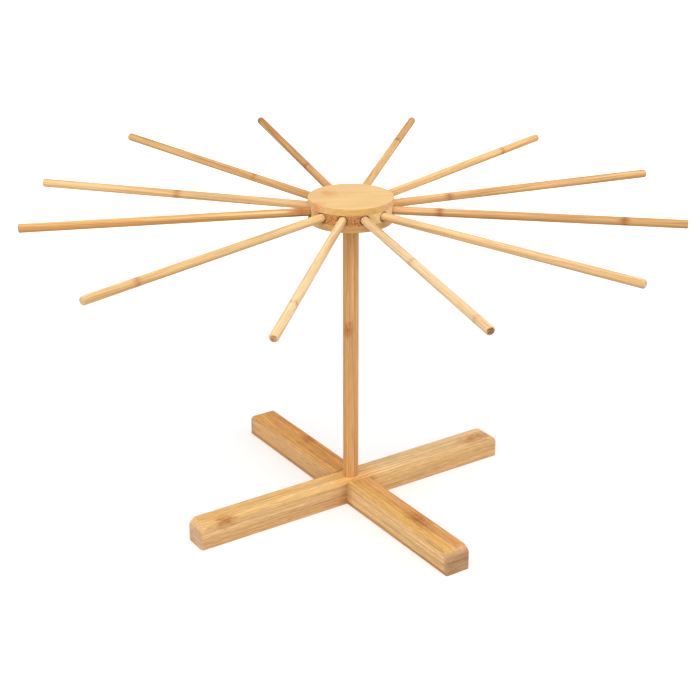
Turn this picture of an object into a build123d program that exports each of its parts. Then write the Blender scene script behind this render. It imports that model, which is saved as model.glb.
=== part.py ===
from build123d import *
from math import atan, cos, degrees, radians, sin
import os

# A bamboo pasta drying rack: rods pushed into a three-ply hub, which turns on a post over a cross base.
# Sizes are in millimetres. The rack stands on Z = 0, and the post's axis is the Z axis.
# The upper bar of the base lies along X, and the lower bar along Y.

# Base bars, which cross in a half-lap joint
bar_length = 270.0
bar_width = 20.0
bar_height = 18.0
bar_end_round = 7.0
bar_edge_round = 1.5
bar_foot_chamfer = 0.4
lap_clearance = 0.1

# Post
post_diameter = 11.5
post_length = 216.9
post_foot_chamfer = 0.3
post_top_chamfer = 0.8

# Screw that pulls the post down on the cross
screw_length = 40.0
screw_diameter = 4.0
screw_core_diameter = 2.8
screw_head_diameter = 8.0
screw_head_land = 0.3
screw_head_recess = 0.4
screw_point_length = 4.0
screw_point_diameter = 0.6
screw_hole_clearance = 0.2
screw_seat_clearance = 0.1
pilot_hole_clearance = 0.1
pilot_hole_extra_depth = 2.0

# Rods and their sockets
rod_count = 12
rod_diameter = 6.0
rod_length = 216.0
rod_tip_chamfer = 0.7
rod_heel_chamfer = 0.5
rod_heel_clearance = 0.3
rod_play = 0.4
rod_stand_off = 10.2
socket_wall = 1.0
socket_roof = 0.3

# Hub, a disc of three glued plies
hub_diameter = 61.2
outer_ply_thickness = 5.1
hub_edge_chamfer = 0.6
hub_bore_clearance = 0.1

# How far a cut runs past the face that it breaks through
cut_overrun = 1.0

# How each rod lies in its loose socket, from the rod nearest +X round towards +Y. The three shares are
# of its sideways play, of its play upwards, and of the distance by which a rod may stand off its floor.
rod_seat_shares = (
    (0.35, 0.25, 0.40),
    (-0.50, 0.25, 0.95),
    (0.00, 0.50, 0.60),
    (-0.15, 0.85, 0.60),
    (-0.20, 0.40, 0.00),
    (-0.15, 0.85, 0.05),
    (-0.20, -0.05, 1.00),
    (0.20, -0.25, 0.50),
    (0.25, -0.10, 0.75),
    (0.10, 0.10, 0.70),
    (0.05, 0.25, 0.25),
    (0.10, 0.25, 0.40),
)

# The rods stand midway between the base's arms, so the first is half a pitch round from +X.
rod_pitch_angle = 360 / rod_count
first_rod_angle = rod_pitch_angle / 2

# Heights worked out from the sizes: the hub's top ply rests on the post's end.
socket_diameter = rod_diameter + 2 * rod_play
core_ply_thickness = socket_diameter + 2 * socket_roof
top_ply_z = bar_height + post_length
core_ply_z = top_ply_z - core_ply_thickness
bottom_ply_z = core_ply_z - outer_ply_thickness
rod_axis_z = core_ply_z + core_ply_thickness / 2
lap_z = bar_height / 2

# Sockets end where neighbours still have a wall between them, and a rod pivots half way along its socket.
hub_radius = hub_diameter / 2
socket_floor_radius = (socket_diameter + socket_wall) / 2 / sin(radians(rod_pitch_angle / 2))
socket_depth = hub_radius - socket_floor_radius
rod_pivot_radius = socket_floor_radius + socket_depth / 2
rod_lean_limit = degrees(atan(rod_play / (socket_depth / 2)))

screw_cone_height = (screw_head_diameter - screw_diameter) / 2


def base_bar(run_plane):
    """A bar whose length runs along the plane's X direction, with rounded top ends and eased edges."""
    along = Axis(run_plane.origin, run_plane.x_dir)
    across = Axis(run_plane.origin, run_plane.y_dir)
    with BuildPart() as bar:
        with BuildSketch(run_plane):
            Rectangle(bar_length, bar_width)
        extrude(amount=bar_height)
        fillet(bar.edges().filter_by(across).group_by(Axis.Z)[-1], bar_end_round)
        # This one runs on round the ends and down their corners, because those edges are tangent to it.
        fillet(bar.edges().filter_by(along).group_by(Axis.Z)[-1], bar_edge_round)
        chamfer(bar.faces().sort_by(Axis.Z)[0].edges(), bar_foot_chamfer)
    return bar.part


def rod_heading(index):
    """The direction of one socket, in degrees round from +X."""
    return first_rod_angle + index * rod_pitch_angle


def socket_plane(index):
    """The plane of one socket's floor, facing outwards."""
    heading = radians(rod_heading(index))
    outward = Vector(cos(heading), sin(heading), 0)
    return Plane(Vector(0, 0, rod_axis_z) + outward * socket_floor_radius, z_dir=outward)


def rod_plane(index):
    """The plane of one rod's heel, tipped and turned as that rod lies in its socket."""
    swing_share, rise_share, stand_off_share = rod_seat_shares[index % len(rod_seat_shares)]
    heading = radians(rod_heading(index))
    swung = heading + radians(swing_share * rod_lean_limit)
    rise = radians(rise_share * rod_lean_limit)
    pivot = Vector(rod_pivot_radius * cos(heading), rod_pivot_radius * sin(heading), rod_axis_z)
    lean = Vector(cos(rise) * cos(swung), cos(rise) * sin(swung), sin(rise))
    heel_radius = socket_floor_radius + rod_heel_clearance + stand_off_share * rod_stand_off
    return Plane(pivot + lean * (heel_radius - rod_pivot_radius), z_dir=lean)


def finish(builder, node):
    """Label one finished piece and write it."""
    builder.part.label = node
    export_step(builder.part, f"parts/{node}.step")


os.makedirs("parts", exist_ok=True)

# Lower base bar: lies along Y, notched from above, with the screw's hole and its countersink below
with BuildPart() as lower_base_bar:
    add(base_bar(Plane(origin=(0, 0, 0), x_dir=(0, 1, 0), z_dir=(0, 0, 1))))
    with BuildSketch(Plane.XY.offset(lap_z)):
        Rectangle(bar_width + 2 * cut_overrun, bar_width + 2 * lap_clearance)
    extrude(amount=bar_height, mode=Mode.SUBTRACT)
    with BuildSketch(Plane.XY):
        Circle(screw_diameter / 2 + screw_hole_clearance)
    extrude(amount=bar_height, mode=Mode.SUBTRACT)
    # The head sits just below the foot, so its cone is wider at the foot by its recess, land and clearance.
    countersink_growth = screw_head_recess + screw_head_land + screw_seat_clearance
    with BuildSketch(Plane.XZ):
        with BuildLine():
            Polyline(
                (0, 0),
                (screw_head_diameter / 2 + countersink_growth, 0),
                (screw_diameter / 2, screw_cone_height + countersink_growth),
                (0, screw_cone_height + countersink_growth),
                close=True,
            )
        make_face()
    revolve(axis=Axis.Z, mode=Mode.SUBTRACT)
finish(lower_base_bar, "lower_base_bar")

# Upper base bar: lies along X, notched from below, so it runs through on top of the crossing
with BuildPart() as upper_base_bar:
    add(base_bar(Plane.XY))
    with BuildSketch(Plane.XY.offset(lap_z)):
        Rectangle(bar_width + 2 * lap_clearance, bar_width + 2 * cut_overrun)
    extrude(amount=-bar_height, mode=Mode.SUBTRACT)
    with BuildSketch(Plane.XY):
        Circle(screw_diameter / 2 + screw_hole_clearance)
    extrude(amount=bar_height, mode=Mode.SUBTRACT)
finish(upper_base_bar, "upper_base_bar")

# Post: stands on the crossing, with a pilot hole up its foot
pilot_hole_depth = screw_head_recess + screw_length - bar_height + pilot_hole_extra_depth
with BuildPart() as post:
    with BuildSketch(Plane.XY.offset(bar_height)):
        Circle(post_diameter / 2)
    extrude(amount=post_length)
    chamfer(post.edges().group_by(Axis.Z)[0], post_foot_chamfer)
    chamfer(post.edges().group_by(Axis.Z)[-1], post_top_chamfer)
    with BuildSketch(Plane.XY.offset(bar_height)):
        Circle(screw_core_diameter / 2 + pilot_hole_clearance)
    extrude(amount=pilot_hole_depth, mode=Mode.SUBTRACT)
finish(post, "post")

# Screw: countersunk head, plain shank through both bars, and the core of its thread in the post
head_z = screw_head_recess
cone_z = head_z + screw_head_land
shank_z = cone_z + screw_cone_height
point_z = head_z + screw_length
with BuildPart() as post_screw:
    with BuildSketch(Plane.XZ):
        with BuildLine():
            Polyline(
                (0, head_z),
                (screw_head_diameter / 2, head_z),
                (screw_head_diameter / 2, cone_z),
                (screw_diameter / 2, shank_z),
                (screw_diameter / 2, bar_height),
                (screw_core_diameter / 2, bar_height),
                (screw_core_diameter / 2, point_z - screw_point_length),
                (screw_point_diameter / 2, point_z),
                (0, point_z),
                close=True,
            )
        make_face()
    revolve(axis=Axis.Z)
finish(post_screw, "post_screw")

# Hub bottom ply: bored for the post, eased below
with BuildPart() as hub_bottom_ply:
    with BuildSketch(Plane.XY.offset(bottom_ply_z)):
        Circle(hub_radius)
    extrude(amount=outer_ply_thickness)
    chamfer(hub_bottom_ply.edges().group_by(Axis.Z)[0], hub_edge_chamfer)
    with BuildSketch(Plane.XY.offset(bottom_ply_z)):
        Circle(post_diameter / 2 + hub_bore_clearance)
    extrude(amount=outer_ply_thickness, mode=Mode.SUBTRACT)
finish(hub_bottom_ply, "hub_bottom_ply")

# Hub core ply: bored for the post, with a blind socket for each rod in its rim
with BuildPart() as hub_core_ply:
    with BuildSketch(Plane.XY.offset(core_ply_z)):
        Circle(hub_radius)
        Circle(post_diameter / 2 + hub_bore_clearance, mode=Mode.SUBTRACT)
    extrude(amount=core_ply_thickness)
    with BuildSketch(*[socket_plane(index) for index in range(rod_count)]):
        Circle(socket_diameter / 2)
    extrude(amount=socket_depth + cut_overrun, mode=Mode.SUBTRACT)
finish(hub_core_ply, "hub_core_ply")

# Hub top ply: closes the post's bore, eased above
with BuildPart() as hub_top_ply:
    with BuildSketch(Plane.XY.offset(top_ply_z)):
        Circle(hub_radius)
    extrude(amount=outer_ply_thickness)
    chamfer(hub_top_ply.edges().group_by(Axis.Z)[-1], hub_edge_chamfer)
finish(hub_top_ply, "hub_top_ply")

# Drying rods: all alike, each in its own socket
for index in range(rod_count):
    heel_plane = rod_plane(index)
    outward = Axis(heel_plane.origin, heel_plane.z_dir)
    with BuildPart() as drying_rod:
        with BuildSketch(heel_plane):
            Circle(rod_diameter / 2)
        extrude(amount=rod_length)
        chamfer(drying_rod.faces().sort_by(outward)[-1].edges(), rod_tip_chamfer)
        chamfer(drying_rod.faces().sort_by(outward)[0].edges(), rod_heel_chamfer)
    finish(drying_rod, f"drying_rod_{index + 1:02d}")
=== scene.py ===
"""Looks of the pasta drying rack: a bamboo cross base, a dowel post and a hub with twelve pull-out rods.

Everything is in metres, with +Z up and the middle of the base's underside at the origin."""

from math import acos, atan2, cos, pi, radians, sin, sqrt, tau

import bmesh
import bpy
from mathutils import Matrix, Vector


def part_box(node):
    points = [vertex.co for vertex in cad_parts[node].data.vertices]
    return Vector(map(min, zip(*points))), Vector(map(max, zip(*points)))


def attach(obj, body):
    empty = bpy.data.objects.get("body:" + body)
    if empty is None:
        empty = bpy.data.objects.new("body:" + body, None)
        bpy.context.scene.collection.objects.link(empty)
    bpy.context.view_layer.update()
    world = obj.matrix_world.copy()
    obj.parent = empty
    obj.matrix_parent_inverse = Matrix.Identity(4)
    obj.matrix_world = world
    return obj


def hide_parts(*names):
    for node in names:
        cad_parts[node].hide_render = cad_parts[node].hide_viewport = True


bl_info = {
    "name": "Pasta drying rack",
    "version": (1, 0, 0),
    "blender": (4, 5, 0),
    "location": "View3D > Sidebar > Drying rack",
    "description": "Builds the pieces of a bamboo pasta drying rack and its studio",
    "category": "Object",
}

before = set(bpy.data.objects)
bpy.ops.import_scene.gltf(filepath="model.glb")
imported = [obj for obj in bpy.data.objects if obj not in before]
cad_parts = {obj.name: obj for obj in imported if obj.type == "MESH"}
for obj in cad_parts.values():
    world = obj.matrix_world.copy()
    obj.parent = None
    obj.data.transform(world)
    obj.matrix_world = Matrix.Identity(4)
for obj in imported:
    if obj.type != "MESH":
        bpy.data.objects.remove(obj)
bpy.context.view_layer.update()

MM = 0.001

# Places and sizes read from the frame
ROD_COUNT = sum(name.startswith("drying_rod_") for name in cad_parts)
BAR_LOW, BAR_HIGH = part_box("upper_base_bar")
POST_LOW, POST_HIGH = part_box("post")
BOTTOM_PLY_LOW, BOTTOM_PLY_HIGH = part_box("hub_bottom_ply")
CORE_LOW, CORE_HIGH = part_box("hub_core_ply")
TOP_PLY_LOW, TOP_PLY_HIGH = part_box("hub_top_ply")
SCREW_LOW, SCREW_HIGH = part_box("post_screw")
BAR_LENGTH = BAR_HIGH.x - BAR_LOW.x
BAR_WIDTH = BAR_HIGH.y - BAR_LOW.y
BAR_HEIGHT = BAR_HIGH.z - BAR_LOW.z
LAP_HEIGHT = BAR_HEIGHT / 2
HUB_RADIUS = (CORE_HIGH.x - CORE_LOW.x) / 2
CORE_MIDDLE = (CORE_LOW.z + CORE_HIGH.z) / 2
POST_RADIUS = (POST_HIGH.x - POST_LOW.x) / 2

# Clearances and small sizes, as the CAD has them
OVERRUN = MM
LAP_CLEARANCE = 0.1 * MM
BORE_CLEARANCE = 0.1 * MM
ROD_RADIUS = 3.0 * MM
POST_TOP_ROUND = 0.8 * MM
POST_FOOT_CHAMFER = 0.3 * MM
PILOT_RADIUS = 1.5 * MM
PILOT_SPARE = 2.0 * MM
SCREW_HOLE_RADIUS = 2.2 * MM
SCREW_HEAD_RADIUS = 4.0 * MM
SCREW_HEAD_LAND = 0.3 * MM
SCREW_RADIUS = 2.0 * MM
SCREW_CORE_RADIUS = 1.4 * MM
SCREW_POINT_LENGTH = 4.0 * MM
SCREW_POINT_RADIUS = 0.3 * MM
SEAT_GROWTH = 0.8 * MM

# Sides of the round pieces and holes, and steps of the rounded edges
HUB_SIDES, POST_SIDES, SCREW_SIDES, BORE_SIDES, ROD_SIDES, PILOT_SIDES = 192, 72, 64, 64, 48, 32
HUB_STEPS, EDGE_STEPS, FOOT_STEPS = 8, 6, 3

# Headings, from +X towards +Y: across the post's strips, and along the grain of the outer plies and the core
STRIP_HEADING = radians(-33.8)
GRAIN_HEADING = radians(-28)
CORE_HEADING = radians(40)

# Screen colours of the strips that each bar is glued from. near and far lie on the two sides of the joint,
# where the top shows a left and a right strip. The sides show a low strip up to the seam.
UPPER_STRIPS = dict(
    seed=1.0, seam=8.4 * MM, far_side=(240, 195, 136), low_side=(236, 188, 131), middle=(236, 176, 98),
    near_left=(238, 195, 130), near_right=(238, 190, 124), far_left=(238, 198, 144),
    far_right=(238, 198, 144),
    end=(240, 200, 158), end_dark=(206, 162, 122), end_line=0.15, end_from=1.2 * MM, mark=(190, 116, 54),
)
LOWER_STRIPS = dict(
    seed=31.0, seam=2.6 * MM, far_side=(230, 181, 124), low_side=(214, 158, 100), middle=(222, 164, 100),
    near_left=(232, 181, 111), near_right=(227, 169, 108), far_left=(222, 165, 99), far_right=(225, 161, 96),
    end=(208, 164, 122), end_dark=(180, 134, 94), end_line=0.5, end_from=5.0 * MM, mark=(180, 108, 48),
)
# Growth marks of the bars, in millimetres: the height above the top, and the places across and along
UPPER_MARKS = ((0, -7, -114.5), (3, -3, 118))
LOWER_MARKS = ((0, -6, 68), (0, -2, -85))

# Strips of the post that differ in tone: middle and half width in millimetres, strength and colour
POST_STRIPS = (
    (-1.7, 0.9, 0.6, (200, 138, 80)),
    (3.2, 0.9, 0.6, (204, 142, 86)),
    (-4.2, 1.9, 0.8, (208, 146, 96)),
)

# Finish of each rod, by its number: tone, darker fibres, growth marks, and what sets it apart. Marks and the
# ends of a stained zone are distances from the hub's axis in millimetres.
# under is the painted shade on a rod's underside, as a factor on the value of its tone.
ROD_FINISHES = (
    ((249, 204, 137), (233, 176, 109), (184,), dict(depth=0.7, mark=(220, 148, 76))),
    ((243, 196, 132), (220, 165, 103), (172,), dict(depth=0.95, zone=(176, 240, (176, 126, 84), 0.45))),
    ((221, 169, 110), (193, 135, 79), (101,), dict(depth=0.8, zone=(228, 246, (110, 88, 70), 0.6))),
    ((229, 183, 121), (199, 144, 86), (95,), dict(depth=0.7, mark=(218, 150, 72))),
    ((242, 199, 140), (220, 167, 108), (128,), dict(depth=0.45)),
    ((243, 202, 137), (217, 158, 90), (37,), dict(zone=(26, 46, (160, 88, 40), 0.75), under=0.36, tip=0.6)),
    ((244, 208, 149), (221, 174, 111), (199.5,), dict(depth=0.45, end=(236, 196, 142))),
    (
        (247, 211, 160), (233, 188, 131), (186.5,),
        dict(mark=(230, 174, 100), end=(214, 166, 116), tip=1.8, dots=0.7),
    ),
    (
        (242, 210, 163), (221, 182, 127), (120.5, 222),
        dict(depth=0.4, mark=(206, 150, 104), end=(198, 144, 92), dots=1.0, line=(84, 54, 34)),
    ),
    ((239, 202, 146), (219, 170, 110), (), dict(zone=(238, 247, (228, 156, 96), 0.7), end=(240, 206, 168))),
    ((239, 189, 130), (205, 153, 95), (64, 191), dict(depth=0.95, under=0.68, tip=0.6, end=(226, 190, 146))),
    ((244, 197, 135), (214, 159, 100), (74.5,), dict(depth=0.6, under=0.84, end=(212, 172, 126))),
)

# A growth mark away from every piece, and the size of one that runs all round a dowel
NOWHERE = (0, 0, -1)
ALL_ROUND = (1, 1, 0.004)
BLACK = (0, 0, 0, 1)

# Studio
FLOOR_LOW, FLOOR_HIGH = (-4, -4, -0.02), (4, 4, -0.0001)
LIGHT_AIM = (0, 0, 0.12)
LIGHTS = (
    ("key", (-0.5, -0.7, 2.0), 1.8, 21.0),
    ("fill_right", (0.9, -1.7, 0.9), 1.4, 5.0),
    ("fill_left", (-1.95, -0.5, 0.8), 1.4, 11.5),
    ("fill_far_right", (1.9, -0.6, 0.7), 1.4, 6.0),
)
CAMERA_PLACE = (-0.5575, -0.8328, 0.5523)
CAMERA_AIM = (-0.00046, 0.00031, 0.1215)
CAMERA_LENS, CAMERA_SENSOR, CAMERA_REACH = 76.0, 36.0, 50.0


def srgb(*screen):
    """A colour written as on a screen, 0 to 255, as the linear values that Blender works in."""
    shares = [value / 255 for value in screen]
    return tuple(v / 12.92 if v <= 0.04045 else ((v + 0.055) / 1.055) ** 2.4 for v in shares)


def opaque(colour):
    """Colour with full alpha, as node sockets want it."""
    return (*colour[:3], 1.0)


def paint_of(*screen):
    """A screen colour as node sockets want it."""
    return opaque(srgb(*screen))


def size(name, description, millimetres):
    """Length that a user can change."""
    default = millimetres * MM
    return bpy.props.FloatProperty(name=name, description=description, default=default, unit="LENGTH")


def tint(name, description, *screen):
    """Colour that a user can change."""
    default = srgb(*screen)
    return bpy.props.FloatVectorProperty(name=name, description=description, default=default, subtype="COLOR")


class RackSizes(bpy.types.PropertyGroup):
    """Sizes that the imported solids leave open."""

    edge_round: size("Bar edge round", "Radius of the bars' long top edges", 1.5)
    end_round: size("Bar end round", "Radius of the bars' top end edges", 7.0)
    foot_round: size("Bar foot round", "Radius of the bars' bottom edges", 0.4)
    hub_edge_round: size("Hub edge round", "Radius of the hub's sanded rims", 0.6)
    rod_tip_round: size("Rod tip round", "Radius of the edge at most rods' tips", 1.3)
    rod_heel_chamfer: size("Rod heel chamfer", "Chamfer at each rod's inner end", 0.5)
    socket_radius: size("Socket radius", "Radius of the blind sockets in the hub", 3.4)
    socket_floor: size("Socket floor", "Distance of the sockets' floors from the axis", 15.068)
    mouth_flare: size("Socket mouth flare", "Wear at the mouths of the sockets", 0.25)
    thread_pitch: size("Thread pitch", "Rise of the screw's thread in one turn", 1.8)


class RackColours(bpy.types.PropertyGroup):
    """Main colours of the rack."""

    upper_bar: tint("Upper bar", "Sides of the upper base bar", 238, 194, 137)
    lower_bar: tint("Lower bar", "Sides of the lower base bar", 237, 194, 137)
    post: tint("Post", "Main strip of the post", 234, 178, 114)
    hub_face: tint("Hub face", "Long grain of the hub's plies", 238, 197, 136)
    hub_core: tint("Hub core", "End grain of the hub's core", 224, 156, 90)
    mark: tint("Growth mark", "Growth marks in the bamboo", 192, 114, 60)
    dark_line: tint("Dark line", "Fine dark vessels in the bamboo", 150, 92, 46)
    steel: tint("Steel", "Zinc-plated screw", 190, 188, 182)
    floor: tint("Floor", "Studio floor", 206, 206, 206)


def add(tree, kind, inputs=None, **settings):
    """A new node with its settings, and with numbers or links on its inputs."""
    node = tree.nodes.new(kind)
    for name, value in settings.items():
        setattr(node, name, value)
    for key, value in (inputs or {}).items():
        if isinstance(value, bpy.types.NodeSocket):
            tree.links.new(value, node.inputs[key])
        else:
            node.inputs[key].default_value = value
    return node


def out(tree, kind, inputs=None, **settings):
    """First output of a new node."""
    return add(tree, kind, inputs, **settings).outputs[0]


def maths(tree, operation, *values):
    """Output of a Math node."""
    return out(tree, "ShaderNodeMath", dict(enumerate(values)), operation=operation)


def times(tree, first, second, plus=0.0):
    """Product of two numbers, with a third added to it."""
    return maths(tree, "MULTIPLY_ADD", first, second, plus)


def vector_maths(tree, operation, *values):
    """Output of a Vector Math node, which is one number for a length or a dot product."""
    node = add(tree, "ShaderNodeVectorMath", dict(enumerate(values)), operation=operation)
    return node.outputs["Value" if operation in ("LENGTH", "DOT_PRODUCT") else "Vector"]


def apart(tree, value, middle):
    """Distance of a value from the middle."""
    return maths(tree, "ABSOLUTE", maths(tree, "SUBTRACT", value, middle))


def sway(tree, pattern, amount, value):
    """Value moved up and down by a pattern that lies about one half."""
    return times(tree, maths(tree, "SUBTRACT", pattern, 0.5), amount, value)


def step(tree, value, low, high, to_low=0.0, to_high=1.0):
    """Smooth rise from to_low at low to to_high at high."""
    inputs = {0: value, 1: low, 2: high, 3: to_low, 4: to_high}
    return out(tree, "ShaderNodeMapRange", inputs, interpolation_type="SMOOTHSTEP")


def parts(tree, vector):
    """The three numbers of a vector."""
    return add(tree, "ShaderNodeSeparateXYZ", {0: vector}).outputs


def joined(tree, x=0.0, y=0.0, z=0.0):
    """Vector of three numbers."""
    return out(tree, "ShaderNodeCombineXYZ", {0: x, 1: y, 2: z})


def mix(tree, factor, first, second):
    """Mixed colour."""
    return add(tree, "ShaderNodeMix", {0: factor, 6: first, 7: second}, data_type="RGBA").outputs[2]


def shaded(tree, colour, value, saturation=1.0, factor=1.0):
    """Colour made lighter or darker by the value."""
    inputs = {"Value": value, "Saturation": saturation, "Fac": factor, "Color": colour}
    return out(tree, "ShaderNodeHueSaturation", inputs)


def noise(tree, vector, scale, detail=2.0, seed=0.0, roughness=0.5):
    """Value of a noise that is stretched by its scale, given per metre along each axis."""
    scaled = vector_maths(tree, "MULTIPLY", vector, scale)
    inputs = {"Vector": scaled, "W": seed, "Scale": 1.0, "Detail": detail, "Roughness": roughness}
    return out(tree, "ShaderNodeTexNoise", inputs, noise_dimensions="4D")


def feed(tree, group, **links):
    """Links sockets onto a group's inputs."""
    for name, socket in links.items():
        tree.links.new(socket, group.inputs[name.replace("_", " ")])


def name_sockets(tree, direction, values):
    """Names a tree's inputs or outputs, and takes their kinds and defaults from the values."""
    kinds = {float: "Float", int: "Int", type(None): "Material"}
    for name, value in values.items():
        kind = kinds.get(type(value)) or ("Vector" if len(value) == 3 else "Color")
        socket = tree.interface.new_socket(name=name, in_out=direction, socket_type=f"NodeSocket{kind}")
        if value is not None:
            socket.default_value = value


def bamboo_group():
    """Shader group: bamboo's colour, roughness and relief from coordinates with Z along the grain."""
    found = bpy.data.node_groups.get("Bamboo grain")
    if found:
        return found
    tree = bpy.data.node_groups.new("Bamboo grain", "ShaderNodeTree")
    inputs = {
        "Vector": (0, 0, 0), "Tone": BLACK, "Fibre": BLACK, "Line": BLACK,
        "Contrast": 0.5, "Lines": 0.4, "Seed": 0.0, "Slant": 0.006, "Stretch": 1.0,
        "Mark A": NOWHERE, "Mark A size": ALL_ROUND, "Mark B": NOWHERE, "Mark B size": ALL_ROUND,
        "Mark depth": 0.6, "Mark colour": BLACK,
        "End": 0.0, "End colour": (0.5, 0.35, 0.2, 1), "End dots": 0.5, "End line": (0.16, 0.06, 0.02, 1),
    }
    name_sockets(tree, "INPUT", inputs)
    name_sockets(tree, "OUTPUT", {"Colour": BLACK, "Roughness": 0.0, "Height": 0.0})
    given = tree.nodes.new("NodeGroupInput").outputs
    made = tree.nodes.new("NodeGroupOutput").inputs
    seed = given["Seed"]
    # The fibres run a little askew to the sawn or turned piece
    x, y, z = parts(tree, given["Vector"])
    askew = times(tree, z, given["Slant"], x)
    place = joined(tree, askew, y, times(tree, z, given["Stretch"]))
    fibre = noise(tree, place, (1200, 1200, 7), 3.0, seed, 0.65)
    fine = noise(tree, place, (2800, 2800, 70), 2.0, seed)
    band = noise(tree, place, (360, 360, 3), 2.0, seed)
    drift = noise(tree, place, (60, 60, 16), 1.0, seed)
    dashes = step(tree, noise(tree, place, (1500, 1500, 12), 1.0, seed), 0.56, 0.66)
    colour = mix(tree, step(tree, band, 0.36, 0.66), given["Tone"], given["Fibre"])
    colour = mix(tree, times(tree, dashes, given["Lines"]), colour, given["Line"])
    light = sway(tree, fibre, given["Contrast"], 1.0)
    light = sway(tree, fine, times(tree, given["Contrast"], 0.9), light)
    colour = shaded(tree, colour, sway(tree, drift, 0.16, light))
    # End grain: bundles cut across, seen as dots and short dashes
    cells = out(tree, "ShaderNodeTexVoronoi", {"Vector": place, "Scale": 1250.0, "Randomness": 0.8})
    dots = step(tree, cells, 0.1, 0.6, 0.8, 0.0)
    hatch = step(tree, noise(tree, place, (2300, 850, 300), 2.0, seed, 0.6), 0.46, 0.60)
    spots = times(tree, maths(tree, "MAXIMUM", dots, hatch), given["End dots"])
    colour = mix(tree, given["End"], colour, mix(tree, spots, given["End colour"], given["End line"]))
    # Growth marks: streaky brown patches with darker flecks where a branch or a joint grew
    warp = noise(tree, place, (500, 500, 90), 2.0, seed, 0.7)
    flecks = step(tree, noise(tree, place, (1700, 1700, 380), 2.0, seed, 0.6), 0.42, 0.62)
    streaks = step(tree, fibre, 0.66, 0.36, 0.35, 1.0)
    dark_depth = times(tree, given["Mark depth"], 0.62)
    for name in ("Mark A", "Mark B"):
        away = vector_maths(tree, "SUBTRACT", given["Vector"], given[name])
        away = vector_maths(tree, "DIVIDE", away, given[f"{name} size"])
        reach = sway(tree, warp, 2.2, vector_maths(tree, "LENGTH", away))
        patch = step(tree, reach, 0.0, 1.3, 1.0, 0.0)
        core = step(tree, reach, -0.1, 0.5, 1.0, 0.0)
        soft = times(tree, times(tree, patch, streaks), given["Mark depth"])
        colour = mix(tree, soft, colour, given["Mark colour"])
        dark = times(tree, patch, maths(tree, "MAXIMUM", flecks, core))
        colour = mix(tree, times(tree, dark, dark_depth), colour, given["Line"])
    tree.links.new(colour, made["Colour"])
    tree.links.new(times(tree, fibre, 0.2, 0.52), made["Roughness"])
    tree.links.new(times(tree, fine, 0.5, fibre), made["Height"])
    return tree


def grain_coordinates(tree, origin, direction):
    """Object coordinates, first turned so that Z runs from the origin along the direction, and then plain."""
    plain = tree.nodes.new("ShaderNodeTexCoord").outputs["Object"]
    direction = Vector(direction).normalized()
    turn = (0.0, acos(direction.z), atan2(direction.y, direction.x))
    inputs = {"Vector": plain, "Location": tuple(origin), "Rotation": turn}
    return out(tree, "ShaderNodeMapping", inputs, vector_type="TEXTURE"), plain


def bamboo_material(name, origin, direction, seed, tone, fibre, paint, **values):
    """Bamboo with its grain along the direction, and with the values on the inputs of its group.

    paint(tree, local, plain, group) links more onto those inputs, and can return another colour."""
    colours = bpy.context.scene.rack_colours
    material = bpy.data.materials.new(name)
    material.use_nodes = True
    tree = material.node_tree
    shader = tree.nodes["Principled BSDF"]
    shader.inputs["Specular IOR Level"].default_value = 0.22
    local, plain = grain_coordinates(tree, origin, direction)
    group = add(tree, "ShaderNodeGroup", {"Vector": local}, node_tree=bamboo_group())
    shared = {"Tone": opaque(tone), "Fibre": opaque(fibre), "Seed": seed}
    shared |= {"Line": opaque(colours.dark_line), "Mark_colour": opaque(colours.mark)}
    for key, value in (shared | values).items():
        group.inputs[key.replace("_", " ")].default_value = value
    colour = paint(tree, local, plain, group) or group.outputs["Colour"]
    tree.links.new(colour, shader.inputs["Base Color"])
    tree.links.new(group.outputs["Roughness"], shader.inputs["Roughness"])
    inputs = {"Strength": 0.25, "Distance": 0.12 * MM, "Height": group.outputs["Height"]}
    tree.links.new(out(tree, "ShaderNodeBump", inputs), shader.inputs["Normal"])
    return material


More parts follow.
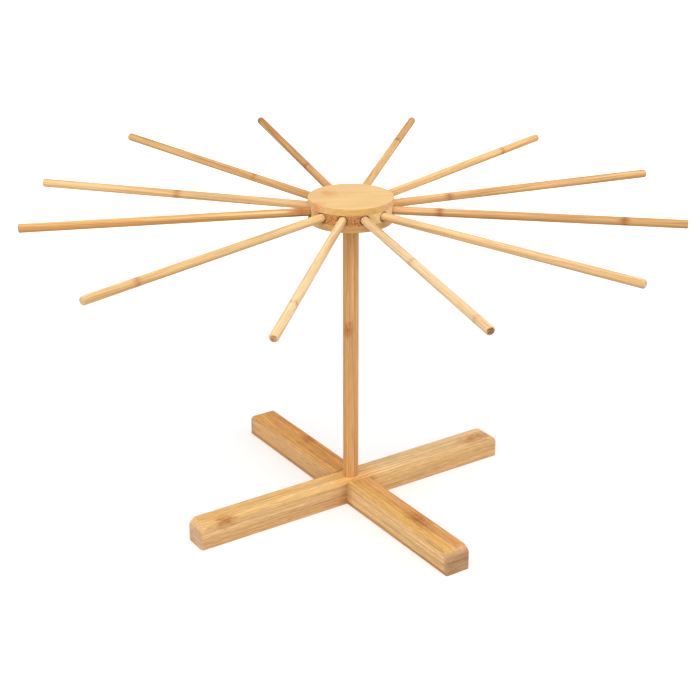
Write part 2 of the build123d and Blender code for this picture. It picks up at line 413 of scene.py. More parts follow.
def bar_material(name, along, side, strips, marks):
    """Bamboo of a base bar that is glued from four strips, each with its own tone and seed."""
    line = opaque(bpy.context.scene.rack_colours.dark_line)
    tones = {key: paint_of(*value) for key, value in strips.items() if isinstance(value, tuple)}
    places = [(-BAR_HEIGHT - above * MM, across * MM, run * MM) for above, across, run in marks]

    def paint(tree, local, plain, group):
        x, y, level = parts(tree, plain)
        run, across = (x, y) if along == "X" else (y, x)
        reach = maths(tree, "ABSOLUTE", run)
        end = step(tree, reach, BAR_LENGTH / 2 - strips["end_from"], BAR_LENGTH / 2 - 0.1 * MM)
        wave = noise(tree, local, (0, 0, 30), 1.0, 3.0)
        rise = times(tree, wave, 0.6 * MM, level)
        shift = times(tree, wave, 0.6 * MM, across)
        above = step(tree, rise, strips["seam"], strips["seam"] + 0.25 * MM)
        beyond = step(tree, shift, 0.2 * MM, 0.45 * MM)
        upper = step(tree, level, BAR_HEIGHT - 1.3 * MM, BAR_HEIGHT - 0.4 * MM)
        far = step(tree, run, -MM, MM)
        sides = mix(tree, above, tones["low_side"], mix(tree, far, opaque(side), tones["far_side"]))
        near_top = mix(tree, beyond, tones["near_left"], tones["near_right"])
        far_top = mix(tree, beyond, tones["far_left"], tones["far_right"])
        # The pieces about the joint come from a redder part of the strip
        redder = step(tree, reach, 8 * MM, 26 * MM, 0.6, 0.0)
        top = mix(tree, redder, mix(tree, far, near_top, far_top), tones["middle"])
        # Thin dark glue lines lie between the strips, and painted shade darkens the sides by the joint, where
        # the bars meet
        glue = step(tree, apart(tree, rise, strips["seam"]), 0.05 * MM, 0.45 * MM, 0.35, 0.0)
        crossing_shade = step(tree, reach, 10 * MM, 21 * MM, 0.35, 0.0)
        crossing_shade = times(tree, crossing_shade, maths(tree, "SUBTRACT", 1.0, upper))
        tone = mix(tree, crossing_shade, mix(tree, glue, mix(tree, upper, sides, top), line), line)
        # The ends show the layers cut across, with one darker line half way up
        layers = step(tree, noise(tree, local, (420, 60, 0), 2.0, 6.0, 0.7), 0.3, 0.7)
        middle = step(tree, apart(tree, level, 9.5 * MM), 0.1 * MM, 1.0 * MM, strips["end_line"], 0.0)
        ends = mix(tree, middle, mix(tree, layers, tones["end_dark"], tones["end"]), paint_of(120, 80, 50))
        seed = times(tree, above, 11.0, times(tree, beyond, 7.0, strips["seed"]))
        fibre = shaded(tree, tone, 0.86, 1.06)
        feed(tree, group, End=end, Tone=tone, Fibre=fibre, Seed=seed, End_colour=ends)

    return bamboo_material(
        name, (0, 0, 0), (1, 0, 0) if along == "X" else (0, 1, 0), strips["seed"], side, side, paint,
        Contrast=1.35, Lines=0.34, Stretch=1.8, Line=paint_of(158, 98, 50), End_dots=0.2,
        Mark_A=places[0], Mark_B=places[1], Mark_A_size=(0.006, 0.007, 0.009),
        Mark_B_size=(0.006, 0.008, 0.017), Mark_depth=1.0, Mark_colour=tones["mark"]
    )


def post_material():
    """Bamboo of the post, whose blank was glued from strips."""
    tone = bpy.context.scene.rack_colours.post
    facing = (cos(STRIP_HEADING), sin(STRIP_HEADING), 0)

    def paint(tree, local, plain, group):
        across = vector_maths(tree, "DOT_PRODUCT", plain, facing)
        shade = opaque(tone)
        for middle, half, amount, colour in POST_STRIPS:
            near = apart(tree, across, middle * MM)
            inside = step(tree, near, half * MM / 2, half * MM, amount, 0.0)
            shade = mix(tree, inside, shade, paint_of(*colour))
        feed(tree, group, Tone=shade)

    return bamboo_material(
        "post_bamboo", (0, 0, POST_LOW.z), (0, 0, 1), 4.0, tone, Vector(tone) * 0.8, paint,
        Contrast=0.85, Lines=0.55, Mark_A=(-0.0048, -0.0032, 0.1215), Mark_A_size=(0.0045, 0.0045, 0.0075),
        Mark_depth=1.0, End_colour=paint_of(200, 160, 116)
    )


def ply_material(name, heading, seed, side, shades, end_shares, painted_socket_shade=False, **values):
    """Bamboo of one ply of the hub, with end grain on the rim where it cuts the fibres across, and, on the
    core, painted shade in and about the sockets.

    shades are those of the fibres on the face and on the rim. end_shares are where the end grain begins and
    is full, as shares of the radius."""
    face_tone = bpy.context.scene.rack_colours.hub_face
    face_shade, side_shade = shades
    face_fibre, side_fibre = Vector(face_tone) * face_shade, Vector(srgb(*side)) * side_shade

    def paint(tree, local, plain, group):
        reach = maths(tree, "DIVIDE", maths(tree, "ABSOLUTE", parts(tree, local)[2]), HUB_RADIUS)
        x, y, level = parts(tree, plain)
        away = vector_maths(tree, "LENGTH", vector_maths(tree, "MULTIPLY", plain, (1, 1, 0)))
        rim = step(tree, away, HUB_RADIUS - 0.5 * MM, HUB_RADIUS - 0.2 * MM)
        face = step(tree, level, TOP_PLY_HIGH.z - 0.5 * MM, TOP_PLY_HIGH.z - 0.15 * MM)
        tone = mix(tree, face, paint_of(*side), opaque(face_tone))
        fibre = mix(tree, face, opaque(side_fibre), opaque(face_fibre))
        feed(tree, group, End=times(tree, rim, step(tree, reach, *end_shares)), Tone=tone, Fibre=fibre)
        if not painted_socket_shade:
            return None
        # Painted shade: a darker ring about each socket's mouth and darker insides, where the gaps about the
        # rods lie in shade
        turn = times(tree, maths(tree, "ARCTAN2", y, x), ROD_COUNT / tau)
        turn = maths(tree, "SUBTRACT", maths(tree, "FRACT", turn), 0.5)
        around = times(tree, turn, tau / ROD_COUNT * HUB_RADIUS)
        rise = maths(tree, "SUBTRACT", level, CORE_MIDDLE)
        beside = vector_maths(tree, "LENGTH", joined(tree, around, rise))
        ring = times(tree, step(tree, beside, 3.5 * MM, 4.2 * MM, 0.75, 0.0), rim)
        inside = step(tree, away, HUB_RADIUS - 0.4 * MM, HUB_RADIUS - 0.08 * MM, 0.9, 0.0)
        return mix(tree, maths(tree, "MAXIMUM", inside, ring), group.outputs["Colour"], paint_of(136, 72, 34))

    direction = (cos(heading), sin(heading), 0)
    return bamboo_material(name, (0, 0, CORE_LOW.z), direction, seed, face_tone, face_fibre, paint, **values)


def on_top_ply(x, y, below=0.0):
    """Point of the top ply, in millimetres from the axis and below its face, in its own grain coordinates."""
    along = Vector((cos(GRAIN_HEADING), sin(GRAIN_HEADING), 0))
    point = Vector((x, y, 0)) * MM
    return CORE_LOW.z - TOP_PLY_HIGH.z + below * MM, along.cross(point).z, point.dot(along)


def rod_material(number, heel, along, length):
    """Bamboo of one rod, with its own tones, growth marks, stain and painted shade on its underside."""
    tone, fibre, marks, own = ROD_FINISHES[(number - 1) % len(ROD_FINISHES)]
    start = Vector((heel.x, heel.y, 0)).length

    def paint(tree, local, plain, group):
        depth, _, z = parts(tree, local)
        tip_face = step(tree, z, length - 0.35 * MM, length - 0.05 * MM)
        heel_face = step(tree, z, 0.05 * MM, 0.3 * MM, 1.0, 0.0)
        feed(tree, group, End=maths(tree, "MAXIMUM", tip_face, heel_face))
        shade = paint_of(*tone)
        if "zone" in own:
            first, last, stain, amount = own["zone"]
            first, last = first * MM - start, last * MM - start
            rise = step(tree, z, first - 3 * MM, first + 3 * MM, 0.0, amount)
            fall = step(tree, z, last - 6 * MM, last + 6 * MM, 1.0, 0.0)
            shade = mix(tree, times(tree, rise, fall), shade, paint_of(*stain))
        if "under" in own:
            # Painted shade: the rod is darker below its axis, on the underside that the lights reach less
            shade = shaded(tree, shade, own["under"], 1.1, step(tree, depth, -1.6 * MM, 0.8 * MM))
        if not isinstance(shade, tuple):
            feed(tree, group, Tone=shade)

    places = [(0, 0, mark * MM - start) for mark in marks] + [NOWHERE, NOWHERE]
    values = {"Mark_colour": paint_of(*own["mark"])} if "mark" in own else {}
    return bamboo_material(
        f"bamboo_rod_{number:02d}", heel, along, 10.0 + 3.7 * number, srgb(*tone), srgb(*fibre), paint,
        Contrast=0.75, Lines=0.38, Slant=0.02, Stretch=0.6, Mark_A=places[0], Mark_B=places[1],
        Mark_depth=own.get("depth", 0.5), End_dots=own.get("dots", 0.35),
        End_colour=paint_of(*own.get("end", (206, 162, 114))),
        End_line=paint_of(*own.get("line", (112, 70, 42))), **values
    )


def steel_material():
    """Zinc-plated steel with a cloudy sheen."""
    material = bpy.data.materials.new("screw_zinc")
    material.use_nodes = True
    tree = material.node_tree
    shader = tree.nodes["Principled BSDF"]
    shader.inputs["Metallic"].default_value = 1.0
    plain = tree.nodes.new("ShaderNodeTexCoord").outputs["Object"]
    cloud = noise(tree, plain, (2400, 2400, 2400), 3.0, 5.0)
    steel = bpy.context.scene.rack_colours.steel
    colour = mix(tree, step(tree, cloud, 0.35, 0.7), opaque(steel), opaque(Vector(steel) * 0.78))
    tree.links.new(colour, shader.inputs["Base Color"])
    tree.links.new(times(tree, cloud, 0.25, 0.25), shader.inputs["Roughness"])
    return material


def floor_material():
    """White paper for the camera, and plain grey for the light that falls on it."""
    paper = bpy.data.materials.new("floor_paper")
    paper.use_nodes = True
    tree = paper.node_tree
    tree.nodes.clear()
    diffuse = out(tree, "ShaderNodeBsdfDiffuse", {"Color": opaque(bpy.context.scene.rack_colours.floor)})
    seen = out(tree, "ShaderNodeLightPath")
    away = vector_maths(tree, "LENGTH", tree.nodes.new("ShaderNodeTexCoord").outputs["Object"])
    lift = step(tree, away, 0.3, 1.0, 0.42, 1.0)
    glow = out(tree, "ShaderNodeEmission", {"Strength": times(tree, seen, lift)})
    both = out(tree, "ShaderNodeAddShader", {0: diffuse, 1: glow})
    add(tree, "ShaderNodeOutputMaterial", {"Surface": both})
    return paper


def studio_world():
    """World that the camera sees as white, and that lights the rack less."""
    world = bpy.data.worlds.new("studio")
    world.use_nodes = True
    tree = world.node_tree
    tree.nodes.clear()
    seen = out(tree, "ShaderNodeLightPath")
    strength = out(tree, "ShaderNodeMix", {0: seen, 2: 0.6, 3: 1.0})
    back = out(tree, "ShaderNodeBackground", {"Color": (1, 1, 1, 1), "Strength": strength})
    add(tree, "ShaderNodeOutputWorld", {"Surface": back})
    return world


def new_object(name, data):
    """New object in the scene."""
    made = bpy.data.objects.new(name, data)
    bpy.context.scene.collection.objects.link(made)
    return made


def link_mesh(mesh, material):
    """New object in the scene with one material, named like its mesh."""
    mesh.materials.clear()
    mesh.materials.append(material)
    return new_object(mesh.name, mesh)


def settle(made, body, node, angle=35.0):
    """Smooths the faces up to the angle, hides the CAD node that the piece stands in for, where it has one,
    and gives the piece its body.
    """
    mesh = made.data
    mesh.polygons.foreach_set("use_smooth", [True] * len(mesh.polygons))
    mesh.set_sharp_from_angle(angle=radians(angle))
    if node:
        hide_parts(node)
    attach(made, body)


def aimed(name, data, place, target):
    """New light or camera in the scene, pointing at the target."""
    made = new_object(name, data)
    made.location = place
    made.rotation_euler = (Vector(target) - Vector(place)).to_track_quat("-Z", "Y").to_euler()
    return made


def solid(rings, closed=False):
    """Bmesh skinned over rings with equal point counts, with its ends filled, or joined where closed.

    A ring of one point is a pole."""
    made = bmesh.new()
    rows = [[made.verts.new(point) for point in ring] for ring in rings]
    for low, high in zip(rows, rows[1:] + rows[:1] if closed else rows[1:]):
        count = max(len(low), len(high))
        for i in range(count):
            j = (i + 1) % count
            corners = [low[i % len(low)], low[j % len(low)], high[j % len(high)], high[i % len(high)]]
            made.faces.new(list(dict.fromkeys(corners)))
    for row in () if closed else (rows[0], rows[-1]):
        if len(row) > 2:
            made.faces.new(row)
    bmesh.ops.recalc_face_normals(made, faces=made.faces)
    return made


def mesh_from(name, made):
    """Mesh data of a bmesh, which is freed."""
    mesh = bpy.data.meshes.new(name)
    made.to_mesh(mesh)
    made.free()
    return mesh


def lathe(name, outline, sides, closed=False):
    """Mesh turned round Z from (radius, height) pairs; a closed outline gives a ring."""
    turns = [tau * i / sides for i in range(sides)]
    rings = []
    for radius, height in outline:
        round_z = [Vector((radius * cos(a), radius * sin(a), height)) for a in turns]
        rings.append(round_z if radius > 0 else [Vector((0, 0, height))])
    return mesh_from(name, solid(rings, closed))


def drill(name, radius, low, high, sides):
    """Round cutter along Z."""
    return lathe(name, [(0, low), (radius, low), (radius, high), (0, high)], sides)


def arc(centre, radius, start, end, steps):
    """Points of an arc in a plane, with angles in degrees."""
    turns = [radians(start + (end - start) * i / steps) for i in range(steps + 1)]
    return [(centre[0] + radius * cos(a), centre[1] + radius * sin(a)) for a in turns]


def flatten(made):
    """Gives an object the plain mesh that its modifiers make, and takes them off."""
    made.data = bpy.data.meshes.new_from_object(made.evaluated_get(bpy.context.evaluated_depsgraph_get()))
    made.modifiers.clear()
    return made.data


def cut(made, *cutters):
    """Takes closed meshes away from an object, and leaves it with one plain mesh."""
    for mesh in cutters:
        tool = new_object("cutter", mesh)
        modifier = made.modifiers.new("Cut", "BOOLEAN")
        modifier.solver = "EXACT"
        modifier.object = tool
        modifier.operation = "DIFFERENCE"
        flatten(made)
        bpy.data.objects.remove(tool)
    even(made)


def even(made, near=0.001 * MM):
    """Joins points that nearly meet after a cut, and splits the faces with more than four corners."""
    plain = bmesh.new()
    plain.from_mesh(made.data)
    bmesh.ops.remove_doubles(plain, verts=plain.verts, dist=near)
    bmesh.ops.dissolve_degenerate(plain, edges=plain.edges, dist=near)
    bmesh.ops.triangulate(plain, faces=[face for face in plain.faces if len(face.verts) > 4])
    plain.to_mesh(made.data)
    plain.free()


def block(low, high, name="block"):
    """Box mesh between two corners."""
    corners = [(low[0], low[1]), (high[0], low[1]), (high[0], high[1]), (low[0], high[1])]
    return mesh_from(name, solid([[Vector((x, y, z)) for x, y in corners] for z in (low[2], high[2])]))


def run_geometry(name, tree, inputs):
    """Object with the plain mesh that a Geometry Nodes tree makes from its inputs."""
    made = new_object(name, bpy.data.meshes.new(name))
    modifier = made.modifiers.new("Shape", "NODES")
    modifier.node_group = tree
    for socket in tree.interface.items_tree:
        if socket.in_out == "INPUT" and socket.name in inputs:
            modifier[socket.identifier] = inputs[socket.name]
    plain = flatten(made)
    if not plain.polygons:
        raise RuntimeError(f"{name} came out empty")
    # One finish for the whole piece, without the empty slot that a cut leaves
    plain.materials.clear()
    plain.materials.append(inputs["Material"])
    plain.polygons.foreach_set("material_index", [0] * len(plain.polygons))
    return made


def geometry_tree(name, inputs):
    """New Geometry Nodes tree with the named inputs, its input sockets and the socket for the result."""
    tree = bpy.data.node_groups.new(name, "GeometryNodeTree")
    tree.interface.new_socket(name="Geometry", in_out="INPUT", socket_type="NodeSocketGeometry")
    name_sockets(tree, "INPUT", inputs)
    tree.interface.new_socket(name="Geometry", in_out="OUTPUT", socket_type="NodeSocketGeometry")
    return tree, tree.nodes.new("NodeGroupInput").outputs, tree.nodes.new("NodeGroupOutput").inputs[0]


def moved(tree, geometry, translation, rotation=(0.0, 0.0, 0.0)):
    """Geometry turned and then moved."""
    inputs = {"Geometry": geometry, "Translation": translation, "Rotation": rotation}
    return out(tree, "GeometryNodeTransform", inputs)


def finish_geometry(tree, geometry, material, result):
    """Ends a tree with smooth faces, Realize Instances and Set Material."""
    smooth = out(tree, "GeometryNodeSetShadeSmooth", {"Geometry": geometry})
    real = out(tree, "GeometryNodeRealizeInstances", {"Geometry": smooth})
    painted = out(tree, "GeometryNodeSetMaterial", {"Geometry": real, "Material": material})
    tree.links.new(painted, result)


def dowel_tree():
    """Geometry Nodes tree of a round dowel with a chamfered heel and a rounded tip."""
    found = bpy.data.node_groups.get("Dowel")
    if found:
        return found
    inputs = {
        "Length": 0.2, "Radius": ROD_RADIUS, "Tip round": 0.8 * MM, "Heel chamfer": 0.5 * MM,
        "Sides": ROD_SIDES, "Tip steps": EDGE_STEPS,
        "Heel": (0, 0, 0), "Direction": (0, 0, 1), "Material": None,
    }
    tree, given, result = geometry_tree("Dowel", inputs)
    radius, tip = given["Radius"], given["Tip round"]
    # Stations 0 and 1 are the heel's chamfer, and the rest climb the quarter circle of the tip
    index = out(tree, "GeometryNodeInputIndex")
    climb = maths(tree, "DIVIDE", maths(tree, "SUBTRACT", index, 2), given["Tip steps"])
    turn = times(tree, climb, pi / 2)
    base = maths(tree, "SUBTRACT", given["Length"], tip)
    tip_height = times(tree, maths(tree, "SINE", turn), tip, base)
    waist = maths(tree, "SUBTRACT", radius, tip)
    tip_radius = times(tree, maths(tree, "COSINE", turn), tip, waist)
    at_tip = maths(tree, "GREATER_THAN", index, 1.5)
    heel_height = times(tree, index, given["Heel chamfer"])
    narrow = maths(tree, "SUBTRACT", radius, given["Heel chamfer"])
    heel_radius = maths(tree, "ADD", narrow, heel_height)

    def chosen(first, second):
        return out(tree, "ShaderNodeMix", {0: at_tip, 2: first, 3: second})

    stations = out(tree, "GeometryNodeMeshLine", {"Count": maths(tree, "ADD", given["Tip steps"], 3)})
    inputs = {"Geometry": stations, "Position": joined(tree, z=chosen(heel_height, tip_height))}
    placed = out(tree, "GeometryNodeSetPosition", inputs)
    spine = out(tree, "GeometryNodeMeshToCurve", {"Mesh": placed})
    ring = out(tree, "GeometryNodeCurvePrimitiveCircle", {"Resolution": given["Sides"]})
    scale = chosen(heel_radius, tip_radius)
    inputs = {"Curve": spine, "Profile Curve": ring, "Scale": scale, "Fill Caps": True}
    skin = out(tree, "GeometryNodeCurveToMesh", inputs)
    turned = out(tree, "FunctionNodeAlignRotationToVector", {"Vector": given["Direction"]}, axis="Z")
    finish_geometry(tree, moved(tree, skin, given["Heel"], turned), given["Material"], result)
    return tree


def socket_tree():
    """Geometry Nodes tree of the hub's core: a disc with the post's bore and a ring of blind sockets."""
    inputs = {
        "Radius": HUB_RADIUS, "Height": CORE_HIGH.z - CORE_LOW.z, "Level": CORE_MIDDLE,
        "Bore radius": POST_RADIUS, "Sockets": ROD_COUNT, "Socket radius": ROD_RADIUS,
        "Socket floor": HUB_RADIUS / 2, "Mouth flare": 0.25 * MM, "First heading": 0.0, "Material": None,
    }
    tree, given, result = geometry_tree("Socketed ply", inputs)

    def cylinder(radius, depth, sides):
        inputs = {"Vertices": sides, "Side Segments": 1, "Radius": radius, "Depth": depth}
        return out(tree, "GeometryNodeMeshCylinder", inputs)

    def lay(geometry, distance):
        """Turns a tool that stands along Z to point outwards along X, at a distance from the axis."""
        return moved(tree, geometry, joined(tree, distance), (0.0, pi / 2, 0.0))

    radius, socket, flare = given["Radius"], given["Socket radius"], given["Mouth flare"]
    disc = cylinder(radius, given["Height"], HUB_SIDES)
    bore = cylinder(given["Bore radius"], times(tree, given["Height"], 2.0), BORE_SIDES)
    # One socket along X, from its floor to well outside the rim, and the cone that flares its mouth
    reach = times(tree, radius, 0.7)
    middle = times(tree, reach, 0.5, given["Socket floor"])
    straight = lay(cylinder(socket, reach, ROD_SIDES), middle)
    flared = times(tree, flare, 1.5, socket)
    depth = times(tree, flare, 3.0)
    inputs = {"Vertices": ROD_SIDES, "Radius Top": flared, "Radius Bottom": socket, "Depth": depth}
    cone = lay(out(tree, "GeometryNodeMeshCone", inputs), times(tree, flare, -2.0, radius))
    stations = out(tree, "GeometryNodePoints", {"Count": given["Sockets"]})
    index = out(tree, "GeometryNodeInputIndex")
    share = maths(tree, "DIVIDE", times(tree, index, tau), given["Sockets"])
    turn = joined(tree, z=maths(tree, "ADD", share, given["First heading"]))
    spin = out(tree, "FunctionNodeEulerToRotation", {0: turn})

    def ring(tool):
        inputs = {"Points": stations, "Instance": tool, "Rotation": spin}
        round_hub = out(tree, "GeometryNodeInstanceOnPoints", inputs)
        return out(tree, "GeometryNodeRealizeInstances", {"Geometry": round_hub})

    made = disc
    for tool in (bore, ring(straight), ring(cone)):
        inputs = {"Mesh 1": made, "Mesh 2": tool, "Self Intersection": True}
        made = out(tree, "GeometryNodeMeshBoolean", inputs, operation="DIFFERENCE", solver="EXACT")
    finish_geometry(tree, moved(tree, made, joined(tree, z=given["Level"])), given["Material"], result)
    return tree


def rod_line(name):
    """Heel and tip centres of a rod, from the flat ends of its CAD node."""
    end_depth = 0.3 * MM
    points = [vertex.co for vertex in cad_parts[name].data.vertices]
    outward = sum(points, Vector()).to_2d().normalized().to_3d()
    ends = []
    for way in (-outward, outward):
        edge = max(p.dot(way) for p in points) - end_depth
        unique = {tuple(round(c, 7) for c in p): p for p in points if p.dot(way) > edge}.values()
        ends.append(sum(unique, Vector()) / len(unique))
    return ends


def bar_mesh(name, along, sizes):
    """Bar with rounded long edges and ends, lying along X or Y."""
    half, side, top = BAR_LENGTH / 2, BAR_WIDTH / 2, BAR_HEIGHT
    edge, end, foot = sizes.edge_round, sizes.end_round, sizes.foot_round

    def fall(radius, beyond):
        """How high a round of this radius still stands, at a distance beyond its start."""
        return sqrt(max(radius**2 - max(beyond, 0) ** 2, 0))

    # Stations from one end to the middle: place along the bar, half width and height
    runs = [x for x, _ in arc((half - edge, 0), edge, 0, 90, EDGE_STEPS)[1:]]
    stations = [(x, side - edge + fall(edge, x - half + edge)) for x in runs]
    stations += [(x, side) for x, _ in arc((half - end, 0), end, 45, 90, EDGE_STEPS)]
    stations = [(x, y, top - end + fall(end, x - half + end)) for x, y in stations]
    stations = [(half, side - edge, top - end)] + stations + [(0.0, side, top)]
    stations += [(-x, y, z) for x, y, z in reversed(stations[:-1])]
    rings = []
    for x, y, z in stations:
        ring = arc((y - foot, foot), foot, -90, 0, FOOT_STEPS)
        ring += arc((y - edge, z - edge), edge, 0, 90, EDGE_STEPS)
        ring += [(-u, v) for u, v in reversed(ring)]
        rings.append([Vector((x, u, v)) if along == "X" else Vector((-u, x, v)) for u, v in ring])
    made = solid(rings)
    bmesh.ops.remove_doubles(made, verts=made.verts, dist=0.0001 * MM)
    return mesh_from(name, made)


class RACK_OT_base_bars(bpy.types.Operator):
    """Builds the two half-lapped base bars"""

    bl_idname = "rack.base_bars"
    bl_label = "Base bars"

    def execute(self, context):
        sizes, colours = context.scene.rack_sizes, context.scene.rack_colours
        half, lap = BAR_WIDTH / 2, BAR_WIDTH / 2 + LAP_CLEARANCE
        past, above = half + OVERRUN, BAR_HEIGHT + OVERRUN
        hole = drill("hole", SCREW_HOLE_RADIUS, -OVERRUN, above, ROD_SIDES)
        seat_height = SCREW_HEAD_RADIUS - SCREW_RADIUS + SEAT_GROWTH
        seat = [(0, -OVERRUN), (SCREW_RADIUS + seat_height + OVERRUN, -OVERRUN), (SCREW_RADIUS, seat_height)]
        seat = lathe("seat", seat + [(0, seat_height)], SCREW_SIDES)
        finish = bar_material("bamboo_bar_upper", "X", colours.upper_bar, UPPER_STRIPS, UPPER_MARKS)
        upper = link_mesh(bar_mesh("base_bar_upper", "X", sizes), finish)
        cut(upper, block((-lap, -past, -OVERRUN), (lap, past, LAP_HEIGHT)), hole)
        settle(upper, "base", "upper_base_bar")
        finish = bar_material("bamboo_bar_lower", "Y", colours.lower_bar, LOWER_STRIPS, LOWER_MARKS)
        lower = link_mesh(bar_mesh("base_bar_lower", "Y", sizes), finish)
        cut(lower, block((-past, -lap, LAP_HEIGHT - LAP_CLEARANCE), (past, lap, above)), hole, seat)
        settle(lower, "base", "lower_base_bar")
        return {"FINISHED"}


class RACK_OT_post(bpy.types.Operator):
    """Builds the post that carries the hub"""

    bl_idname = "rack.post"
    bl_label = "Post"

    def execute(self, context):
        inputs = {
            "Length": POST_HIGH.z - POST_LOW.z, "Radius": POST_RADIUS, "Tip round": POST_TOP_ROUND,
            "Heel chamfer": POST_FOOT_CHAMFER, "Sides": POST_SIDES, "Heel": (0.0, 0.0, POST_LOW.z),
            "Material": post_material(),
        }
        made = run_geometry("post_dowel", dowel_tree(), inputs)
        cut(made, drill("pilot", PILOT_RADIUS, POST_LOW.z - OVERRUN, SCREW_HIGH.z + PILOT_SPARE, PILOT_SIDES))
        settle(made, "base", "post")
        return {"FINISHED"}


class RACK_OT_screw(bpy.types.Operator):
    """Builds the countersunk wood screw under the crossing"""

    bl_idname = "rack.screw"
    bl_label = "Post screw"

    def execute(self, context):
        low, top = SCREW_LOW.z, SCREW_HIGH.z
        land, taper_start = low + SCREW_HEAD_LAND, top - SCREW_POINT_LENGTH
        outline = [(0, low), (SCREW_HEAD_RADIUS - 0.2 * MM, low), (SCREW_HEAD_RADIUS, low + 0.1 * MM)]
        outline += [(SCREW_HEAD_RADIUS, land), (SCREW_RADIUS, land + SCREW_HEAD_RADIUS - SCREW_RADIUS)]
        outline += [(SCREW_RADIUS, BAR_HEIGHT - 0.3 * MM), (SCREW_CORE_RADIUS, BAR_HEIGHT)]
        outline += [(SCREW_CORE_RADIUS, taper_start), (SCREW_POINT_RADIUS, top), (0, top)]
        finish = steel_material()
        made = link_mesh(lathe("screw_steel", outline, SCREW_SIDES), finish)
        # Cross recess: two crossed slots that taper, given by half width, half length and depth
        slot = ((0.45 * MM, 2.4 * MM, -0.1 * MM), (0.275 * MM, 1.5 * MM, 1.5 * MM))
        for turned in (False, True):
            rings = []
            for thin, wide, depth in slot:
                corners = [(-wide, -thin), (wide, -thin), (wide, thin), (-wide, thin)]
                if turned:
                    corners = [(-v, u) for u, v in corners]
                rings.append([Vector((u, v, low + depth)) for u, v in corners])
            cut(made, mesh_from("recess", solid(rings)))
        # Thread: a helical ridge that sinks into the core and runs out at both ends
        pitch, per_turn = context.scene.rack_sizes.thread_pitch, 32
        count = int((top - 2.5 * MM - BAR_HEIGHT) / pitch * per_turn)
        rings = []
        for i in range(count + 1):
            angle, height = tau * i / per_turn, BAR_HEIGHT + pitch * i / per_turn
            taper = max(0.0, height - taper_start) / SCREW_POINT_LENGTH
            core = SCREW_CORE_RADIUS - 0.05 * MM - 1.1 * MM * taper
            root, crest = core - 0.15 * MM, core + 0.62 * MM * min(1.0, i / 20, (count - i) / 70)
            profile = ((root, -0.42 * MM), (crest, -0.04 * MM), (crest, 0.04 * MM), (root, 0.42 * MM))
            rings.append([Vector((r * cos(angle), r * sin(angle), height + z)) for r, z in profile])
        thread = link_mesh(mesh_from("screw_thread", solid(rings)), finish)
        settle(made, "base", "post_screw", 30)
        settle(thread, "base", None, 30)
        return {"FINISHED"}


class RACK_OT_hub(bpy.types.Operator):
    """Builds the hub's three plies, with the twelve sockets in its core"""

    bl_idname = "rack.hub"
    bl_label = "Hub"

    def execute(self, context):
        sizes, colours = context.scene.rack_sizes, context.scene.rack_colours
        edge, bore = sizes.hub_edge_round, POST_RADIUS + BORE_CLEARANCE
        low, high = TOP_PLY_LOW.z, TOP_PLY_HIGH.z
        finish = ply_material(
            "hub_top", GRAIN_HEADING, 7.0, (229, 181, 110), (0.95, 0.8), (0.4, 0.8),
            Contrast=0.28, Lines=0.02, Stretch=3.0, Line=paint_of(206, 140, 84), End_dots=0.35,
            End_colour=paint_of(243, 195, 137), Mark_colour=paint_of(226, 144, 78),
            Mark_A=on_top_ply(-10.6, 13.6), Mark_A_size=(0.01, 0.009, 0.0078),
            Mark_B=on_top_ply(-30.5, -2.5, 1.5), Mark_B_size=(0.01, 0.006, 0.007)
        )
        outline = [(0, low), (HUB_RADIUS, low)]
        outline += arc((HUB_RADIUS - edge, high - edge), edge, 0, 90, HUB_STEPS) + [(0, high)]
        made = link_mesh(lathe("hub_ply_top", outline, HUB_SIDES), finish)
        settle(made, "hub", "hub_top_ply")
        low, high = BOTTOM_PLY_LOW.z, BOTTOM_PLY_HIGH.z
        finish = ply_material(
            "hub_bottom", GRAIN_HEADING, 9.0, (219, 168, 104), (0.86, 0.8), (0.6, 0.9),
            Lines=0.3, End_dots=0.35, End_colour=paint_of(238, 188, 134)
        )
        outline = [(bore, low)] + arc((HUB_RADIUS - edge, low + edge), edge, -90, 0, HUB_STEPS)
        outline += [(HUB_RADIUS, high), (bore, high)]
        made = link_mesh(lathe("hub_ply_bottom", outline, HUB_SIDES, True), finish)
        settle(made, "hub", "hub_bottom_ply")
        finish = ply_material(
            "hub_core", CORE_HEADING, 8.0, (250, 211, 149), (0.86, 0.9), (0.6, 0.9), True,
            Contrast=0.6, Lines=0.3, End_dots=0.85, End_colour=opaque(colours.hub_core)
        )
        inputs = {
            "Radius": HUB_RADIUS, "Height": CORE_HIGH.z - CORE_LOW.z, "Level": CORE_MIDDLE,
            "Bore radius": bore, "Sockets": ROD_COUNT, "Socket radius": sizes.socket_radius,
            "Socket floor": sizes.socket_floor, "Mouth flare": sizes.mouth_flare,
            "First heading": pi / ROD_COUNT, "Material": finish,
        }
        made = run_geometry("hub_ply_core", socket_tree(), inputs)
        even(made)
        settle(made, "hub", "hub_core_ply")
        return {"FINISHED"}


class RACK_OT_rods(bpy.types.Operator):
    """Builds the twelve drying rods, each with its own bamboo"""

    bl_idname = "rack.rods"
    bl_label = "Drying rods"

    def execute(self, context):
        sizes = context.scene.rack_sizes
        tree = dowel_tree()
        for number in range(1, ROD_COUNT + 1):
            node = f"drying_rod_{number:02d}"
            heel, tip = rod_line(node)
            along, length = (tip - heel).normalized(), (tip - heel).length
            own = ROD_FINISHES[(number - 1) % len(ROD_FINISHES)][-1]
            inputs = {
                "Length": length, "Radius": ROD_RADIUS, "Heel chamfer": sizes.rod_heel_chamfer,
                "Tip round": own["tip"] * MM if "tip" in own else sizes.rod_tip_round,
                "Heel": tuple(heel), "Direction": tuple(along),
                "Material": rod_material(number, heel, along, length),
            }
            made = run_geometry(f"rod_{number:02d}_dowel", tree, inputs)
            settle(made, f"rod_{number:02d}", node)
        return {"FINISHED"}


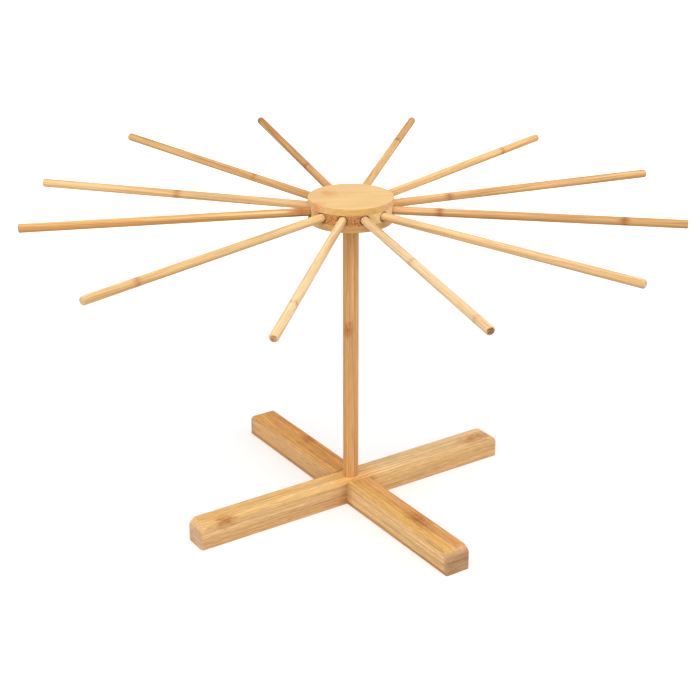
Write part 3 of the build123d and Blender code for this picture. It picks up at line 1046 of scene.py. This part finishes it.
class RACK_OT_stage(bpy.types.Operator):
    """Builds the floor, the lights and the camera"""

    bl_idname = "rack.stage"
    bl_label = "Studio"

    def execute(self, context):
        scene = context.scene
        link_mesh(block(FLOOR_LOW, FLOOR_HIGH, "floor"), floor_material())
        scene.world = studio_world()
        for name, place, width, power in LIGHTS:
            data = bpy.data.lights.new(name, "AREA")
            data.size, data.energy = width, power
            aimed(name, data, place, LIGHT_AIM)
        lens = bpy.data.cameras.new("camera")
        lens.lens, lens.sensor_width, lens.clip_end = CAMERA_LENS, CAMERA_SENSOR, CAMERA_REACH
        scene.camera = aimed("camera", lens, CAMERA_PLACE, CAMERA_AIM)
        scene.view_settings.view_transform = "Standard"
        return {"FINISHED"}


OPERATORS = (RACK_OT_base_bars, RACK_OT_post, RACK_OT_screw, RACK_OT_hub, RACK_OT_rods, RACK_OT_stage)


class RACK_PT_pieces(bpy.types.Panel):
    """Lists the rack's operators, sizes and colours"""

    bl_idname = "RACK_PT_pieces"
    bl_label = "Pasta drying rack"
    bl_space_type = "VIEW_3D"
    bl_region_type = "UI"
    bl_category = "Drying rack"

    def draw(self, context):
        for operator in OPERATORS:
            self.layout.operator(operator.bl_idname)
        for group in (context.scene.rack_sizes, context.scene.rack_colours):
            box = self.layout.box()
            for name in group.__annotations__:
                box.prop(group, name)


CLASSES = (RackSizes, RackColours, *OPERATORS, RACK_PT_pieces)


def register():
    for made in CLASSES:
        bpy.utils.register_class(made)
    bpy.types.Scene.rack_sizes = bpy.props.PointerProperty(type=RackSizes)
    bpy.types.Scene.rack_colours = bpy.props.PointerProperty(type=RackColours)


def unregister():
    del bpy.types.Scene.rack_colours
    del bpy.types.Scene.rack_sizes
    for made in reversed(CLASSES):
        bpy.utils.unregister_class(made)


def main():
    register()
    bpy.ops.rack.base_bars()
    bpy.ops.rack.post()
    bpy.ops.rack.screw()
    bpy.ops.rack.hub()
    bpy.ops.rack.rods()
    bpy.ops.rack.stage()


if __name__ == "__main__":
    main()
